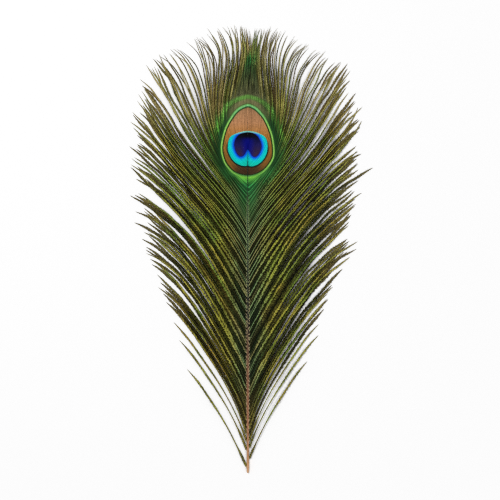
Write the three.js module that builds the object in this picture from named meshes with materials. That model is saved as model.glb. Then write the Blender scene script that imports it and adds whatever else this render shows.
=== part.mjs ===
// Peacock tail feather, lying face up on a level surface.
//
// Millimetres, +Z up. The feather lies along Y with the cut quill at -Y and the crown of the
// feather at +Y; its two vanes spread along X. Z = 0 is the surface that it rests on, and the
// origin is under the middle of its outline.
//
// Three grown pieces: the shaft (quill and rachis) and the vane on each side of it. Each vane is
// one closed sheet that follows the run of its barbs: a barb leaves the shaft at ROOT, is LENGTH
// long, and turns away from the shaft's line by the HEADING angles at 0, 1/4, 1/2, 3/4 and all of
// its length.
import * as THREE from 'three';

// ---- driving dimensions (mm, degrees) --------------------------------------------------------
const QUILL_Y = -150.305;            // where the cut quill end lies
const SHAFT_X = 0.564;              // the shaft's line, beside the middle of the outline
const RACHIS_LENGTH = 225.0;        // the rachis ends inside the dark heart of the eye

// shaft: distance from the quill end, radius
const SHAFT_RADIUS = [
  [0.0, 0.62], [1.2, 0.76], [12, 0.80], [28, 0.86], [49, 1.00], [89, 0.98],
  [123, 0.72], [150, 0.50], [175, 0.36], [200, 0.24], [215, 0.17], [225, 0.12],
];
// under the eye the shaft sinks below the web of barbs: distance from the quill end, drop
const SINK = [[0, 0], [120, 0], [165, 0.10], [200, 0.42], [225, 0.45]];
// height of the barbs' roots above the surface: distance from the quill end, height
const ARCH = [
  [0, 0.76], [30, 1.35], [70, 2.90], [110, 4.20], [150, 4.80], [190, 4.60], [225, 3.90],
];
const SHAFT_SIDES = 10;
const SHAFT_STEPS = 54;

// barbs: root, length, heading at 0, 1/4, 1/2, 3/4, 1
const BARBS = [
  [3.4, 79.5, 24, 26, 31, 34, 42],
  [26.9, 101.0, 17, 26, 33, 36, 47],
  [49.8, 114.0, 21.5, 29, 32, 40, 54],
  [80.7, 118.0, 26, 30, 34, 45, 56.5],
  [107.6, 121.5, 28.5, 30, 36, 46, 53.5],
  [134.5, 121.0, 28.5, 33, 41, 42, 48],
  [158.1, 120.0, 28, 39, 40.5, 33.5, 39],
  [176.2, 119.0, 30, 36.5, 30, 26.5, 33],
  [189.7, 110.0, 48, 26.5, 12.5, 12.5, 40],
  [199.1, 105.0, 57, 22, 1.5, -1.5, 30],
  [207.2, 98.0, 48, 15.5, -7, -5.5, 20],
  [215.2, 85.5, 31, 4, -5.5, -1.5, 10],
  [219.4, 80.0, 16, -0.5, -2, 1, 4.5],
  [222.6, 60.0, 5, -1, -0.3, 0.5, 1],
];
const FIRST_ROOT = 3.4;             // lowest barb
const LAST_ROOT = 222.6;            // barb next to the feather's axis, above the eye
const SHAFT_GAP = 0.3;              // clearance between the shaft and a vane's root edge
const VANE_THICKNESS_ROOT = 0.9;
const VANE_THICKNESS_RIM = 0.6;
const RIM_START = 0.84;             // the rim beyond this share of a barb lies flat on the surface
const TOOTH_DEPTH = 0.10;           // the rim is notched between clumps of barbs by this share
const VANE_COLUMNS = 52;            // across the barbs; two to a clump
const VANE_ROWS = 12;               // along the barbs
const RIGHT_LENGTH = 0.985;         // the right vane is a little the narrower

// ---- curves ------------------------------------------------------------------------------------
function slopes(xs, ys) {
  const n = xs.length, m = new Array(n);
  m[0] = (ys[1] - ys[0]) / (xs[1] - xs[0]);
  m[n - 1] = (ys[n - 1] - ys[n - 2]) / (xs[n - 1] - xs[n - 2]);
  for (let i = 1; i < n - 1; i++) {
    const a = xs[i] - xs[i - 1], b = xs[i + 1] - xs[i];
    m[i] = (a * a * ys[i + 1] + (b * b - a * a) * ys[i] - b * b * ys[i - 1]) / (a * b * (a + b));
  }
  return m;
}
function smooth(xs, ys) {
  const m = slopes(xs, ys);
  return (x) => {
    let i = 0;
    while (i < xs.length - 2 && x > xs[i + 1]) i++;
    const h = xs[i + 1] - xs[i], t = Math.min(1, Math.max(0, (x - xs[i]) / h));
    const t2 = t * t, t3 = t2 * t;
    return (2 * t3 - 3 * t2 + 1) * ys[i] + (t3 - 2 * t2 + t) * h * m[i]
      + (3 * t2 - 2 * t3) * ys[i + 1] + (t3 - t2) * h * m[i + 1];
  };
}
const column = (table, k) => table.map((row) => row[k]);
const shaftRadius = smooth(column(SHAFT_RADIUS, 0), column(SHAFT_RADIUS, 1));
const arch = smooth(column(ARCH, 0), column(ARCH, 1));
const sink = smooth(column(SINK, 0), column(SINK, 1));
const barbData = [1, 2, 3, 4, 5, 6].map((k) => smooth(column(BARBS, 0), column(BARBS, k)));

// plan of one barb: point at share t of its length, in (outward, along the shaft)
const STEPS = 96;
function barbPlan(root, lengthScale) {
  const [length, ...heading] = barbData.map((f) => f(root));
  const angle = smooth([0, 0.25, 0.5, 0.75, 1], heading);
  const pts = [[0, root]];
  const ds = (length * lengthScale) / STEPS;
  for (let i = 0; i < STEPS; i++) {
    const a = THREE.MathUtils.degToRad((angle(i / STEPS) + angle((i + 1) / STEPS)) / 2);
    const [x, y] = pts[i];
    pts.push([x + Math.sin(a) * ds, y + Math.cos(a) * ds]);
  }
  return (t) => {
    const f = Math.min(STEPS - 1e-9, Math.max(0, t * STEPS)), i = Math.floor(f), u = f - i;
    return [pts[i][0] * (1 - u) + pts[i + 1][0] * u, pts[i][1] * (1 - u) + pts[i + 1][1] * u];
  };
}

// ---- the shaft: a turned, tapering stalk laid along Y and bent to the arch ----------------------
function makeShaft() {
  const profile = [new THREE.Vector2(0, 0)];
  for (let i = 0; i <= SHAFT_STEPS; i++) {
    const s = i === 0 ? 0 : i === 1 ? 1.2 : (RACHIS_LENGTH * (i - 0.7)) / (SHAFT_STEPS - 0.7);
    profile.push(new THREE.Vector2(shaftRadius(s), s));
  }
  profile.push(new THREE.Vector2(0, RACHIS_LENGTH + 0.6));
  const geometry = new THREE.LatheGeometry(profile, SHAFT_SIDES);
  const p = geometry.attributes.position;
  for (let i = 0; i < p.count; i++) {
    // the turning axis is the feather's line; a section stays upright
    const across = p.getX(i), along = p.getY(i), up = p.getZ(i);
    const s = Math.min(along, RACHIS_LENGTH);
    p.setXYZ(i, across, along, Math.max(0, arch(s) - sink(s) + up));
  }
  p.needsUpdate = true;
  geometry.computeVertexNormals();
  return geometry;
}

// ---- a vane: one closed sheet laid along the barbs ------------------------------------------------
// roots are spaced so that the clumps along the rim are about as wide as each other
function rootTable() {
  const roots = [], way = [0];
  const n = 400;
  let last = null;
  for (let i = 0; i <= n; i++) {
    const r = FIRST_ROOT + ((LAST_ROOT - FIRST_ROOT) * i) / n;
    const tip = barbPlan(r, 1)(1);
    if (last) way.push(way[i - 1] + Math.hypot(tip[0] - last[0], tip[1] - last[1]));
    roots.push(r);
    last = tip;
  }
  return Array.from({ length: VANE_COLUMNS + 1 }, (_, k) => {
    const want = (way[n] * k) / VANE_COLUMNS;
    let i = 1;
    while (i < n && way[i] < want) i++;
    const u = (want - way[i - 1]) / (way[i] - way[i - 1]);
    return roots[i - 1] * (1 - u) + roots[i] * u;
  });
}
const ROOTS = rootTable();

function makeVane(side) {
  // box x runs along the barbs, box y from barb to barb, box z through the thickness
  const geometry = new THREE.BoxGeometry(1, 1, 1, VANE_ROWS, VANE_COLUMNS, 1);
  const p = geometry.attributes.position;
  const lengthScale = side > 0 ? RIGHT_LENGTH : 1;
  const plans = ROOTS.map((r) => barbPlan(r, lengthScale));
  for (let i = 0; i < p.count; i++) {
    const share = side > 0 ? p.getX(i) + 0.5 : 0.5 - p.getX(i);
    const k = Math.round((p.getY(i) + 0.5) * VANE_COLUMNS);
    const top = p.getZ(i) > 0;
    const root = ROOTS[k];
    const row = Math.round(share * VANE_ROWS);
    // rows: even steps to the rim, then the flat rim; every second column falls short of its tip
    const end = k % 2 === 1 || k === 0 || k === VANE_COLUMNS ? 1 : 1 - TOOTH_DEPTH;
    const t = row === VANE_ROWS ? end : (RIM_START * row) / (VANE_ROWS - 1);
    const [out, along] = plans[k](t);
    const edge = shaftRadius(Math.min(root, RACHIS_LENGTH)) + SHAFT_GAP;
    const thickness = VANE_THICKNESS_ROOT + (VANE_THICKNESS_RIM - VANE_THICKNESS_ROOT) * t;
    const rootUnderside = Math.max(0, arch(root) - VANE_THICKNESS_ROOT / 2);
    const fall = Math.min(1, t / RIM_START);
    const under = rootUnderside * Math.pow(Math.cos((fall * Math.PI) / 2), 1.3);
    const z = (fall >= 1 ? 0 : under) + (top ? thickness : 0);
    p.setXYZ(i, side * (edge + out), along, z);
  }
  p.needsUpdate = true;
  geometry.computeVertexNormals();
  return geometry;
}

// ---- the feather -----------------------------------------------------------------------------------
const feather = new THREE.Group();

function add(name, geometry, material) {
  const mesh = new THREE.Mesh(geometry, material);
  mesh.name = name;
  mesh.position.set(SHAFT_X, QUILL_Y, 0);
  feather.add(mesh);
}

add('shaft', makeShaft(),
  new THREE.MeshStandardMaterial({ color: 0xa27c58, roughness: 0.45, metalness: 0 }));
add('vane_left', makeVane(-1),
  new THREE.MeshStandardMaterial({ color: 0x4a4d22, roughness: 0.6, metalness: 0.1 }));
add('vane_right', makeVane(1),
  new THREE.MeshStandardMaterial({ color: 0x44481f, roughness: 0.6, metalness: 0.1 }));

export default feather;
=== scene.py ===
# Peacock feather: the looks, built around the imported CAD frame. All lengths in this file are millimetres until a
# mesh is written, and the plan frame of a barb is (outward from the shaft, along the shaft from the quill end).
import bpy, math
import numpy as np
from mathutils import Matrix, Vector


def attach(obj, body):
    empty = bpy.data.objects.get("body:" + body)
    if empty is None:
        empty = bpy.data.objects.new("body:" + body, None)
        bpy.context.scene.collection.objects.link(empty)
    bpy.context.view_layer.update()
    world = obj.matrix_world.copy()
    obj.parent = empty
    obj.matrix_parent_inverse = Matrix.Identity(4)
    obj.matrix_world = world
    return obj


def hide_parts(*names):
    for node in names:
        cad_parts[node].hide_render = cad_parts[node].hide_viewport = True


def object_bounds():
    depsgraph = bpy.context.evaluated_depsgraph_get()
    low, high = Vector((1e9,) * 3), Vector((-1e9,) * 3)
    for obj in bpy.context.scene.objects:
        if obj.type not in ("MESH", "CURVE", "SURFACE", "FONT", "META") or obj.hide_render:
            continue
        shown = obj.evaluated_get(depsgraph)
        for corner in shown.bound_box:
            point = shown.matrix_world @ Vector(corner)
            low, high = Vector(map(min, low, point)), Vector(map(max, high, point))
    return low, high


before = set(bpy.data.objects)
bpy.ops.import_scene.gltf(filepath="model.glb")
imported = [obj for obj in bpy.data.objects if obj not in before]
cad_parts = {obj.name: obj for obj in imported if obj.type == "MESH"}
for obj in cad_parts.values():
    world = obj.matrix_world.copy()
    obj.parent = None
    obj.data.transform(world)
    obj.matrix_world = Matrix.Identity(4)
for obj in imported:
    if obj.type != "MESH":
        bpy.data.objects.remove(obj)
cad_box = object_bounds()

MM = 0.001
SHAFT_X, QUILL_Y = 0.564, -150.305        # as in the CAD source
RACHIS_LENGTH = 225.0
EYE_Y = 218.6                            # middle of the blue disc, from the quill end

# ------------------------------------------------------------------ the feather's own curves (as in the CAD source)
SHAFT_RADIUS = np.array([[0, .62], [1.2, .76], [12, .80], [28, .86], [49, 1.00], [89, .98], [123, .72], [150, .50],
                         [175, .36], [200, .24], [215, .17], [225, .12]], float)
SINK = np.array([[0, 0], [120, 0], [165, .10], [200, .42], [225, .45]], float)
ARCH = np.array([[0, .76], [30, 1.35], [70, 2.90], [110, 4.20], [150, 4.80], [190, 4.60], [225, 3.90]], float)
BARBS = np.array([
    [3.4, 79.5, 24, 26, 31, 34, 42], [26.9, 101, 17, 26, 33, 36, 47], [49.8, 114, 21.5, 29, 32, 40, 54],
    [80.7, 118, 26, 30, 34, 45, 56.5], [107.6, 121.5, 28.5, 30, 36, 46, 53.5], [134.5, 121, 28.5, 33, 41, 42, 48],
    [158.1, 120, 28, 39, 40.5, 33.5, 39], [176.2, 119, 30, 36.5, 30, 26.5, 33],
    [189.7, 110, 48, 26.5, 12.5, 12.5, 40], [199.1, 105, 57, 22, 1.5, -1.5, 30],
    [207.2, 98, 48, 15.5, -7, -5.5, 20], [215.2, 85.5, 31, 4, -5.5, -1.5, 10], [219.4, 80, 16, -.5, -2, 1, 4.5],
    [222.6, 60, 5, -1, -.3, .5, 1]], float)
RIM_START = 0.84


def hermite(xs, ys, x):
    """Smooth curve through the points (xs, ys); ys may hold several columns."""
    xs, ys, x = np.asarray(xs, float), np.asarray(ys, float), np.asarray(x, float)
    m = np.gradient(ys, xs, axis=0)
    i = np.clip(np.searchsorted(xs, x, side="left") - 1, 0, len(xs) - 2)
    h = xs[i + 1] - xs[i]
    t = np.clip((x - xs[i]) / h, 0, 1)
    if ys.ndim > 1:
        h, t = h[..., None], t[..., None]
    return ((2 * t**3 - 3 * t**2 + 1) * ys[i] + (t**3 - 2 * t**2 + t) * h * m[i]
            + (3 * t**2 - 2 * t**3) * ys[i + 1] + (t**3 - t**2) * h * m[i + 1])


def shaft_radius(y):
    return hermite(SHAFT_RADIUS[:, 0], SHAFT_RADIUS[:, 1], y)


def arch(y):
    return hermite(ARCH[:, 0], ARCH[:, 1], y)


def sink(y):
    return hermite(SINK[:, 0], SINK[:, 1], y)


def ease(a, b, x):
    t = np.clip((x - a) / (b - a), 0, 1)
    return t * t * (3 - 2 * t)


def unit(v):
    return v / np.maximum(np.linalg.norm(v, axis=-1, keepdims=True), 1e-9)


# ------------------------------------------------------------------ outlines of the eye's markings
# (across, along) in mm from the middle of the disc; each is drawn as a smooth closed line
HEART = [(0, 10.3), (2.8, 9.9), (5, 9), (6.8, 7.2), (8.1, 5), (8.9, 2.9), (9.2, 0.7), (8.7, -1.6), (7.7, -3.7),
         (6.3, -5.4), (4.7, -6.2), (3.1, -5.4), (2, -3.7), (1.1, -2.1), (0, -1), (-1, -2.1), (-1.8, -3.7),
         (-3, -5.2), (-4.6, -5.9), (-6.2, -5.2), (-7.4, -3.7), (-8.2, -1.8), (-8.9, 0.7), (-9, 2.9), (-8.5, 5),
         (-7.5, 7), (-5.9, 8.7), (-3.4, 9.8)]
DISC = [(0, 11.3), (3.3, 11), (6, 10.3), (8.7, 9.1), (11, 7.7), (12.5, 5.8), (13.3, 3.3), (13.6, 0.7),
        (13.2, -2.9), (12, -6.2), (9.9, -9.1), (7.3, -11.2), (4.3, -12.6), (2, -12.8), (0, -12.3), (-2, -12.6),
        (-3.9, -12.4), (-6.6, -11.4), (-9, -9.8), (-11.1, -7.4), (-12.7, -4.4), (-13.6, -1.6), (-13.7, 1.2),
        (-13.3, 3.8), (-12.6, 6.1), (-11.3, 7.7), (-9.2, 9), (-6.5, 10.1), (-3.2, 11)]
EGG = [(0, 27.8), (3, 26.8), (5.4, 25.3), (7.6, 23.1), (10.1, 20.2), (12.2, 16.5), (13.9, 12.7), (15.3, 8.6),
       (16.2, 4.3), (16.7, 0.5), (16.8, -2.8), (16.5, -6.2), (14.9, -9.6), (12.7, -12.7), (9.5, -15.6),
       (4.9, -17.9), (0, -18.6), (-4.9, -17.9), (-9.5, -15.9), (-12.7, -12.8), (-15, -9.3), (-16.3, -5.4),
       (-17, -1.5), (-16.8, 2.4), (-15.9, 7.1), (-14.6, 11.7), (-12.6, 16.2), (-10.1, 20.2), (-7.4, 23.7),
       (-4.2, 26.2)]


def closed_curve(pts, each=5):
    p = np.array(pts, float)
    out = []
    for k in range(each):
        t = k / each
        a, b, c, d = (np.roll(p, s, axis=0) for s in (1, 0, -1, -2))
        out.append(.5 * (2 * b + (c - a) * t + (2 * a - 5 * b + 4 * c - d) * t * t + (3 * b - a - 3 * c + d) * t**3))
    return np.stack(out, 1).reshape(-1, 2)


def signed_distance(pts, line):
    """Distance in mm from each point to a closed line, negative inside it."""
    a, b = line, np.roll(line, -1, axis=0)
    ab = b - a
    out = np.empty(len(pts))
    for i in range(0, len(pts), 20000):
        p = pts[i:i + 20000, None, :]
        t = np.clip(((p - a) * ab).sum(-1) / (ab * ab).sum(-1), 0, 1)
        d = np.sqrt((((a + ab * t[..., None]) - p) ** 2).sum(-1)).min(1)
        cross = (a[:, 1] > p[..., 1]) != (b[:, 1] > p[..., 1])
        xi = a[:, 0] + (p[..., 1] - a[:, 1]) / np.where(ab[:, 1] == 0, 1e-9, ab[:, 1]) * ab[:, 0]
        inside = ((cross & (p[..., 0] < xi)).sum(1) % 2) == 1
        out[i:i + 20000] = np.where(inside, -d, d)
    return out


# the outer green band round the top of the eye is an open line
BAND = [(-26, 1), (-23.8, 6.5), (-21.4, 12), (-19, 17.4), (-17.7, 21), (-16, 24.9), (-13.8, 28.5), (-10.5, 31),
        (-6.2, 33.2), (0, 34.7), (5.9, 33.2), (10.6, 30.5), (14.4, 27), (16.6, 23.6), (18.6, 19.1), (20.7, 14.6),
        (22.9, 9.6), (25.2, 4)]
LINES = {"heart": closed_curve(HEART), "disc": closed_curve(DISC), "egg": closed_curve(EGG)}


def line_distance(pts, line):
    """Distance in mm from each point to an open line, negative inside it."""
    a, b = np.array(line[:-1], float), np.array(line[1:], float)
    ab = b - a
    best = np.full(len(pts), 1e9)
    side = np.zeros(len(pts))
    for k in range(len(a)):
        t = np.clip(((pts - a[k]) @ ab[k]) / (ab[k] @ ab[k]), 0, 1)
        off = pts - (a[k] + t[:, None] * ab[k])
        d = np.hypot(off[:, 0], off[:, 1])
        near = d < best
        best = np.where(near, d, best)
        side = np.where(near, ab[k][0] * off[:, 1] - ab[k][1] * off[:, 0], side)
    return best * np.where(side > 0, 1, -1)


def marking(name, x, y):
    """x outward-signed across, y from the quill end, in mm. Far points get a plain large distance."""
    px = np.stack([np.ravel(x), np.ravel(y) - EYE_Y], -1)
    near = (np.abs(px[:, 0]) < 58) & (px[:, 1] > -75) & (px[:, 1] < 62)
    d = np.full(len(px), 40.0)
    if name == "band":
        d[near] = line_distance(px[near], BAND)
    else:
        d[near] = signed_distance(px[near], LINES[name])
    return d.reshape(np.shape(x))


# ------------------------------------------------------------------ barbs
N = 120                                   # points along a barb's middle line
T = np.linspace(0, 1, N + 1)


def barb_roots(side, rng):
    first = {-1: [3.4, 14.8, 20.4, 25.6, 29.2], 1: [8.7, 16.1, 20.8, 24.9, 28.9]}[side]
    # spacing in mm at a distance from the quill end
    at = np.array([31, 60, 90, 130, 158, 180, 194, 204, 212, 219, 223.4])
    gap = np.array([2.8, 2.45, 2.2, 1.9, 1.45, 1.12, .92, .70, .55, .46, .40])
    r, roots = first[-1], list(first)
    while True:
        r += float(np.interp(r, at, gap))
        if r > 223.2:
            break
        roots.append(r)
    roots = np.array(roots)
    g = np.interp(roots, at, gap)
    j = rng.uniform(-.22, .22, len(roots)) * g
    j[:4] = 0
    return roots + j


def barb_plan(roots, length_scale, turn):
    """Plan curves of all barbs at once: arrays (barb, point) of outward and along; turn adds degrees at each point."""
    par = hermite(BARBS[:, 0], BARBS[:, 1:], np.clip(roots, BARBS[0, 0], BARBS[-1, 0]))
    length = par[:, 0] * length_scale
    head = np.stack([hermite([0, .25, .5, .75, 1], p[1:], T) for p in par]) + turn
    a = np.radians(head)
    am = (a[:, 1:] + a[:, :-1]) / 2
    ds = (length / N)[:, None]
    x = np.concatenate([np.zeros((len(roots), 1)), np.cumsum(np.sin(am) * ds, 1)], 1)
    y = np.concatenate([np.zeros((len(roots), 1)), np.cumsum(np.cos(am) * ds, 1)], 1) + roots[:, None]
    return x, y, length


def waves(rng, n, s, spans):
    """Smooth noise along each barb: one row per barb, about -1 to 1."""
    out = np.zeros((n, s.shape[1]))
    for span in spans:
        ph = rng.uniform(0, 2 * np.pi, (n, 1))
        w = span * rng.uniform(.75, 1.35, (n, 1))
        out += np.sin(2 * np.pi * s / w + ph) * rng.uniform(.4, 1, (n, 1))
    return out / len(spans)


def grow(side):
    """All barbs of one vane: middle lines in space and what their barbules need."""
    rng = np.random.default_rng(71 if side < 0 else 137)
    roots = barb_roots(side, rng)
    n = len(roots)
    low = 1 - ease(150, 200, roots)                      # 1 on loose barbs, 0 on those of the eye
    crown = ease(170, 188, roots)                        # 1 on barbs that end in the crown
    scale = 1 + rng.normal(0, .020, n) * (.6 + 1.0 * low)
    scale[:3] = {-1: [.98, .97, 1.0], 1: [.93, 1.0, .98]}[side]
    if side > 0:
        scale *= .985
    # a small notch parts the two halves of the crown
    scale *= 1 - .13 * ease(216.5, 220.5, roots) * (1 - .6 * ease(221.5, 223, roots))
    # neighbours draw together in clumps that lean and part from the next clump
    group, i, k = np.zeros(n, int), 0, 0
    while i < n:
        if roots[i] < 24:
            size = 1
        elif roots[i] < 104:
            size = int(rng.choice([3, 3, 4, 4, 5]))
        elif roots[i] < 124:
            size = int(rng.choice([2, 3, 3, 4]))
        elif roots[i] < 146:
            size = int(rng.choice([1, 2, 2, 3]))
        elif roots[i] < 180:
            size = int(rng.choice([1, 1, 2, 2]))
        else:
            size = int(rng.choice([1, 2, 2, 3, 4]))
        group[i:i + size] = k
        i, k = i + size, k + 1
    # the top barb of each clump is lifted and given a high shine value, which the material paints as a highlight; the
    # others' low values get painted shade
    lift_group, shine, tops = rng.uniform(0, .30, n), rng.uniform(0, .50, n), np.zeros(n, bool)
    for g in range(k):
        m = np.where(group == g)[0]
        tops[int(rng.choice(m))] = True
    lift_group[tops] += .60
    shine[tops] = rng.uniform(.65, 1.0, tops.sum())
    # each barb strays a little from the family: more in its free outer part
    late = ease(.35, 1.0, T)[None, :]
    calm = (1 - .75 * (1 - ease(25, 60, roots)))[:, None]          # the lowest barbs are plain arcs
    turn = rng.normal(0, 1.1, (n, 1)) * late * calm
    turn = turn + rng.normal(0, 1.7, k)[group][:, None] * (.60 + .40 * crown[:, None]) * late * calm
    # the strands beside the notch lean apart, and the crown's outer strands hook outward at their ends
    turn = turn + (9 * ease(.50, 1, T) - 4 * ease(.15, .5, T))[None, :] * np.exp(-((roots - 217.8) / 2.6) ** 2)[:, None]
    turn = turn + rng.uniform(0, 16, n)[:, None] * ease(.72, 1, T)[None, :] * (ease(178, 190, roots) * (1 - ease(206, 214, roots)))[:, None]
    tipcurl = (rng.normal(1, 5, k)[group] + rng.normal(0, 4, n))[:, None] * ease(.76, 1.0, T)[None, :] * calm
    stray = (rng.random(n) < .12)[:, None] * np.clip(rng.normal(0, 5, (n, 1)), -8, 8) * ease(.3, .9, T)[None, :] * calm
    early = rng.normal(0, 1.6, (n, 1)) * tops[:, None] * ease(.02, .22, T)[None, :] * calm * low[:, None]
    x, y, length = barb_plan(roots, scale, turn + tipcurl + stray + early)
    s = T[None, :] * length[:, None]

    # how far a point is from the closed web of the eye, 0 in it
    e = marking("egg", x * side, y)
    apex = 26 * np.exp(-(x / 8.0) ** 2) * (y > EYE_Y + 20)
    limit = 6.5 + apex
    inside = e < limit
    last = np.where(inside.any(1), (N - np.argmax(inside[:, ::-1], axis=1)), 0)
    s_web = np.maximum(s[np.arange(n), last], 4.0 + 6 * rng.random(n))
    free = np.clip((s - s_web[:, None]) / np.maximum(length - s_web, 8)[:, None], 0, 1)

    tan = unit(np.stack([np.gradient(x, axis=1), np.gradient(y, axis=1)], -1))
    sid = np.stack([tan[..., 1], -tan[..., 0]], -1)      # outward, across the barb
    dx = np.zeros_like(x); dy = np.zeros_like(y)
    for g in range(k):
        m = np.where(group == g)[0]
        i, j = m[0], m[-1] + 1
        gx, gy = x[i:j].mean(0), y[i:j].mean(0)
        off = (gx - x[i:j]) * sid[i:j, :, 0] + (gy - y[i:j]) * sid[i:j, :, 1]
        hold = rng.uniform(.15, .45)
        w = hold * (.35 * ease(.0, .30, free[i:j]) + .65 * ease(.35, .80, free[i:j])) * (1 - .50 * ease(.80, 1, free[i:j]))
        w *= np.clip(7.0 / np.maximum(np.abs(off), 1e-6), 0, 1)
        dx[i:j] += off * w * sid[i:j, :, 0]
        dy[i:j] += off * w * sid[i:j, :, 1]
    wav = waves(rng, n, s, (80, 42, 24)) * (1.4 * ease(0, 1, free)) * (calm * (1 - .35 * low[:, None]))
    x = x + dx + wav * sid[..., 0]
    y = y + dy + wav * sid[..., 1]
    # no barb crosses the feather's own axis by more than a hair
    x = np.maximum(x, -.20)

    # height: from the shaft down to the surface at the tip, as the CAD sheet runs, with a little lift of its own
    root_z = arch(np.clip(roots, 0, 225)) + .05 * low
    fall = np.clip(T / .93, 0, 1)[None, :]
    tip_z = .22
    z = tip_z + (root_z[:, None] - tip_z) * np.cos(fall * np.pi / 2) ** 1.3
    lift = lift_group[:, None]
    z = z + lift * ease(0, .12, free) * (1 - ease(.7, 1, free)) * (.6 + .4 * low[:, None])
    z = z + .22 * waves(rng, n, s, (33, 17)) * ease(0, .5, free)
    z = np.maximum(z, .24 + .12 * (1 - T[None, :]))

    # the whole barb starts at the shaft's side
    edge = shaft_radius(np.clip(roots, 0, 225))
    start = (edge * .72)[:, None]
    x = x + start * (1 - .8 * (1 - low[:, None]) * ease(0, 6, s))
    # the top of the crown leans to one side
    lean = 2.4 * ease(238, 300, y) * np.exp(-(x / 20) ** 2)
    return dict(side=side, roots=roots, n=n, x=x + side * lean, y=y, z=z, s=s, length=length, free=free, low=low,
                shine=shine, crown=crown)


def neighbour_gap(x, y):
    """Distance across to the neighbouring barbs, at each point."""
    tan = unit(np.stack([np.gradient(x, axis=1), np.gradient(y, axis=1)], -1))
    dx, dy = np.diff(x, axis=0), np.diff(y, axis=0)
    d = np.abs(dx * (tan[:-1, :, 1] + tan[1:, :, 1]) / 2 - dy * (tan[:-1, :, 0] + tan[1:, :, 0]) / 2)
    up = np.concatenate([d, d[-1:]], 0)
    dn = np.concatenate([d[:1], d], 0)
    return np.maximum(up, dn)


class Pile:
    """Collects closed bits of mesh with their values, then writes one Blender object."""
    def __init__(self):
        self.v, self.f3, self.f4, self.a, self.count = [], [], [], {}, 0

    def add(self, v, f3=None, f4=None, **values):
        v = v.reshape(-1, 3)
        if f3 is not None and len(f3):
            self.f3.append(f3.reshape(-1, 3) + self.count)
        if f4 is not None and len(f4):
            self.f4.append(f4.reshape(-1, 4) + self.count)
        for k, x in values.items():
            self.a.setdefault(k, []).append(np.broadcast_to(x, (len(v),)).astype(np.float32).ravel())
        self.v.append(v.astype(np.float32))
        self.count += len(v)

    def object(self, name, material, rows):
        """u runs along a row of the UV map; each row holds its upper faces in one half, its lower faces in the other."""
        v = np.concatenate(self.v)
        f3 = np.concatenate(self.f3) if self.f3 else np.zeros((0, 3), int)
        f4 = np.concatenate(self.f4) if self.f4 else np.zeros((0, 4), int)
        me = bpy.data.meshes.new(name)
        me.vertices.add(len(v))
        me.vertices.foreach_set("co", (v * MM).astype(np.float32).ravel())
        loops = np.concatenate([f4.ravel(), f3.ravel()]).astype(np.int32)
        me.loops.add(len(loops))
        me.loops.foreach_set("vertex_index", loops)
        me.polygons.add(len(f4) + len(f3))
        start = np.concatenate([np.arange(len(f4)) * 4, len(f4) * 4 + np.arange(len(f3)) * 3]).astype(np.int32)
        me.polygons.foreach_set("loop_start", start)
        smooth = np.concatenate([np.ones(len(f4), bool), np.zeros(len(f3), bool)])
        me.polygons.foreach_set("use_smooth", smooth)
        me.update(calc_edges=True)
        n4 = np.cross(v[f4[:, 2]] - v[f4[:, 0]], v[f4[:, 3]] - v[f4[:, 1]]) if len(f4) else np.zeros((0, 3))
        n3 = np.cross(v[f3[:, 1]] - v[f3[:, 0]], v[f3[:, 2]] - v[f3[:, 0]]) if len(f3) else np.zeros((0, 3))
        up = unit(np.concatenate([n4, n3]))[:, 2]
        back = (up < -.08).astype(np.float32)
        at = me.attributes.new("back", "FLOAT", "FACE")
        at.data.foreach_set("value", back)
        for k, parts in self.a.items():
            if k in ("u", "row", "across"):
                continue
            at = me.attributes.new(k, "FLOAT", "POINT")
            at.data.foreach_set("value", np.concatenate(parts))
        u, row, across = (np.concatenate(self.a[k]) for k in ("u", "row", "across"))
        back_loop = np.concatenate([np.repeat(back[:len(f4)], 4), np.repeat(back[len(f4):], 3)])
        w = (row[loops] + .25 + .5 * back_loop + .44 * across[loops]) / rows
        layer = me.uv_layers.new(name="OFBake")
        layer.uv.foreach_set("vector", np.stack([u[loops], w], -1).astype(np.float32).ravel())
        me.materials.append(material)
        ob = bpy.data.objects.new(name, me)
        bpy.context.scene.collection.objects.link(ob)
        return ob


def sample(arr, s_of, s):
    """Values of one barb's row arr, given at s_of, at the places s."""
    return np.interp(s, s_of, arr)


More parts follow.
